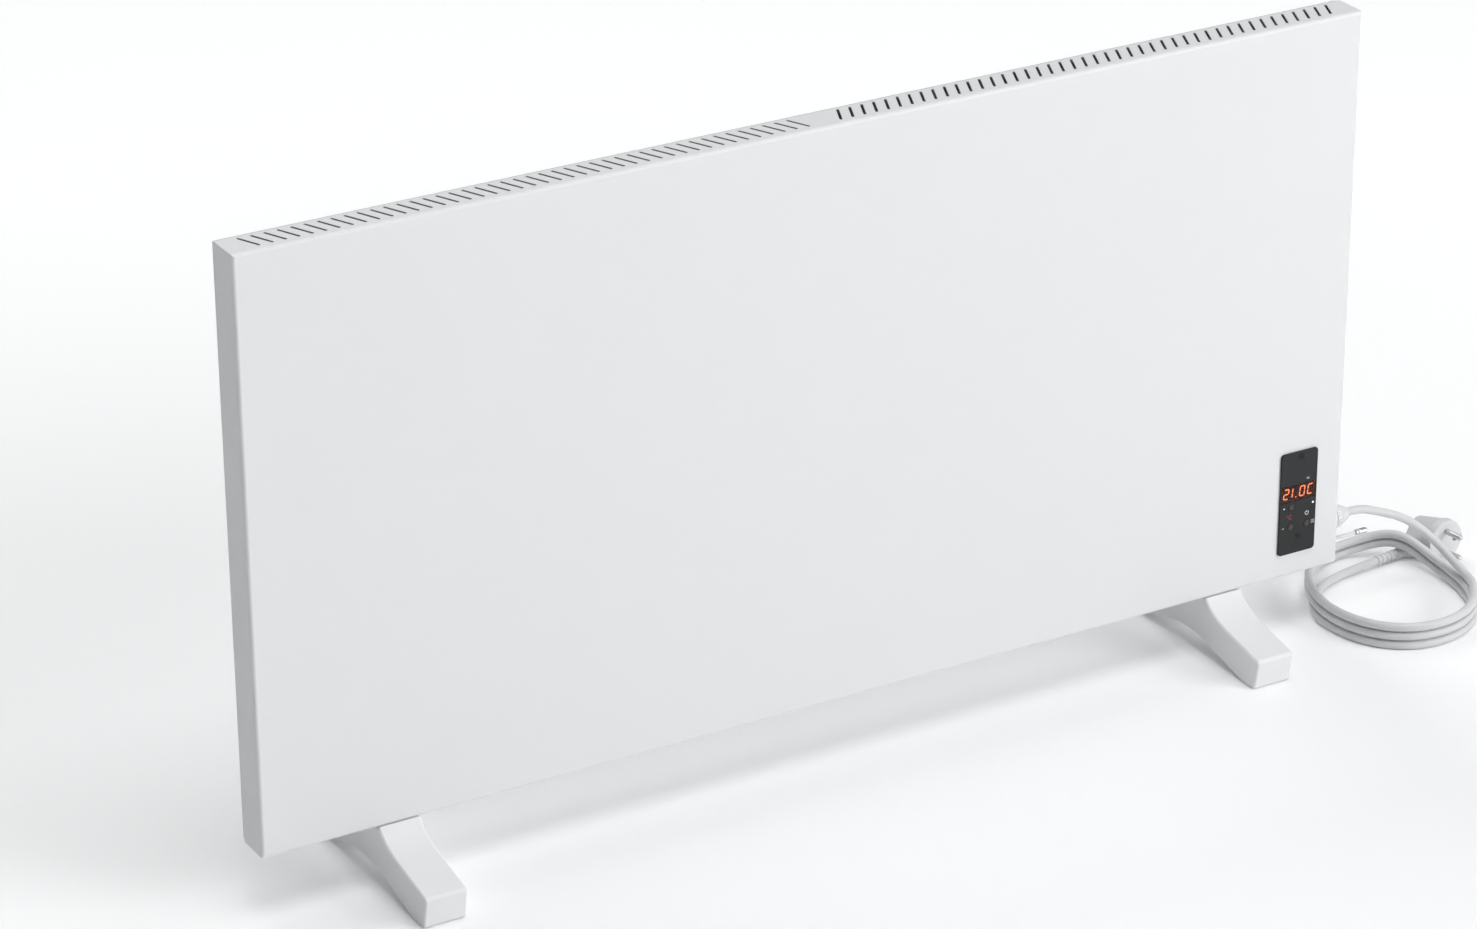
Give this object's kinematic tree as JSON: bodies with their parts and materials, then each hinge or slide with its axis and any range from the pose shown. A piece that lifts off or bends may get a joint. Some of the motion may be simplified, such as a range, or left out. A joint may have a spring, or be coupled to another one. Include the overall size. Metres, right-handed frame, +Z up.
{
  "type": "panel convector heater",
  "caption": "Flat steel convector heater standing on moulded feet, with a small digital control plate, outlet slots along its top and a coiled mains lead with an angled plug",
  "frame": {"origin": "on the floor, below the middle of the box round the heater with its probe and without its lead and plug", "axes": "+X to the right along the panel, +Y from its face to its back, +Z up"},
  "size_m": [1.1692, 0.2126, 0.546],
  "materials": {
    "white_paint": "satin powder coat",
    "foot_plastic": "matt, faint moulded grain",
    "dark_plastic": "satin printed plate",
    "red_window": "dark red tinted pane",
    "black_plastic": "matt",
    "circuit_board": "solder resist",
    "lamp": "clear gloss",
    "grey_plastic": "matt",
    "cord_grey": "soft matt sheath",
    "zinc": "zinc plated",
    "bare_steel": "drawn and polished",
    "aluminium": "mill finish",
    "ceramic": "unglazed",
    "brass": "turned",
    "brown_wire": "insulation",
    "blue_wire": "insulation",
    "earth_wire": "insulation",
    "white_wire": "heat-proof sleeve"
  },
  "bodies": {
    "root": {"front_case": "white_paint", "rear_cover": "white_paint", "rear_screw_1": "zinc", "rear_screw_2": "zinc", "rear_screw_3": "zinc", "rear_screw_4": "zinc", "heating_element": "aluminium", "element_rod": "bare_steel", "element_insulator_left": "ceramic", "element_bracket_left": "zinc", "element_insulator_right": "ceramic", "element_bracket_right": "zinc", "reflector_sheet": "aluminium", "thermal_cutout": "black_plastic", "control_plate": "dark_plastic", "plate_screw_1": "zinc", "plate_screw_2": "zinc", "display_window": "red_window", "display_module": "black_plastic", "indicator_lamp": "lamp", "switch_plus": "black_plastic", "switch_minus": "black_plastic", "switch_power": "black_plastic", "control_board": "circuit_board", "board_standoff_1": "brass", "board_standoff_2": "brass", "power_module": "black_plastic", "terminal_block": "ceramic", "earth_screw": "brass", "wire_live": "brown_wire", "wire_neutral": "blue_wire", "wire_earth": "earth_wire", "wire_to_cutout": "white_wire", "wire_to_element": "white_wire", "wire_element_return": "blue_wire", "gland_body": "grey_plastic", "gland_cap": "grey_plastic", "gland_locknut": "grey_plastic", "cord_inner_end": "cord_grey", "probe_bushing": "grey_plastic", "probe_stem": "grey_plastic", "probe_tip": "bare_steel", "foot_left": "foot_plastic", "foot_right": "foot_plastic", "foot_screw_1": "zinc", "foot_screw_2": "zinc", "foot_screw_3": "zinc", "foot_screw_4": "zinc", "power_cord_lead": "cord_grey", "power_cord_coil": "cord_grey", "power_cord_tail": "cord_grey", "plug_strain_relief": "cord_grey", "plug_body": "cord_grey", "plug_pin_1": "bare_steel", "plug_earth_clip_1": "bare_steel", "plug_pin_2": "bare_steel", "plug_earth_clip_2": "bare_steel"},
    "plus_button": {"button_plus": "dark_plastic"},
    "minus_button": {"button_minus": "dark_plastic"},
    "power_button": {"button_power": "dark_plastic"}
  },
  "joints": [
    {"name": "plus_press", "type": "slide", "parent": "root", "child": "plus_button", "axis": [0, 1, 0], "range_m": [0, 0.0005], "stiffness_N_per_m": 1500},
    {"name": "minus_press", "type": "slide", "parent": "root", "child": "minus_button", "axis": [0, 1, 0], "range_m": [0, 0.0005], "stiffness_N_per_m": 1500},
    {"name": "power_press", "type": "slide", "parent": "root", "child": "power_button", "axis": [0, 1, 0], "range_m": [0, 0.0005], "stiffness_N_per_m": 1500}
  ]
}
